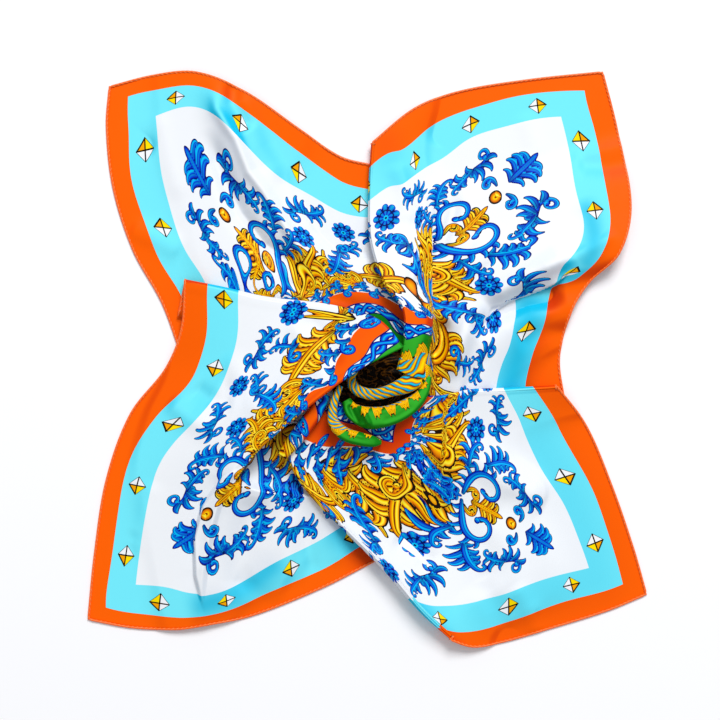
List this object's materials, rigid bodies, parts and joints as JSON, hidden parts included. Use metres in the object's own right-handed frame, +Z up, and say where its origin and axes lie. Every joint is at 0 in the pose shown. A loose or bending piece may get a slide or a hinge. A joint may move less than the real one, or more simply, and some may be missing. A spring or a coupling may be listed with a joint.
{
  "type": "silk square scarf",
  "caption": "Printed silk square scarf laid on a surface and twisted at its centre, so four petals splay from a small rosette and lap in flat pleats.",
  "frame": {"origin": "on the surface the scarf rests on, under the middle of its laid outline", "axes": "+Z up from the surface; +Y towards the upper petals; +X towards the right-hand petals, seen from above"},
  "size_m": [0.4282, 0.4397, 0.0352],
  "materials": {
    "silk_print": "printed silk twill, soft satin sheen: white field, turquoise band, orange border",
    "silk_hem": "orange silk twill, hand-rolled edge with small slip stitches",
    "silk_twist": "printed silk twill, soft satin sheen: green, gold, blue and orange bands of the middle"
  },
  "bodies": {
    "root": {"petal_upper_left": "silk_print", "petal_upper_right": "silk_print", "petal_lower_left": "silk_print", "petal_lower_right": "silk_print", "hem_upper_left": "silk_hem", "hem_upper_right": "silk_hem", "hem_lower_left": "silk_hem", "hem_lower_right": "silk_hem", "twist_inner_curl": "silk_twist", "twist_outer_curl": "silk_twist", "twist_lower_curl": "silk_twist", "twist_under_pleat": "silk_twist", "twist_heart": "silk_twist"}
  },
  "joints": []
}
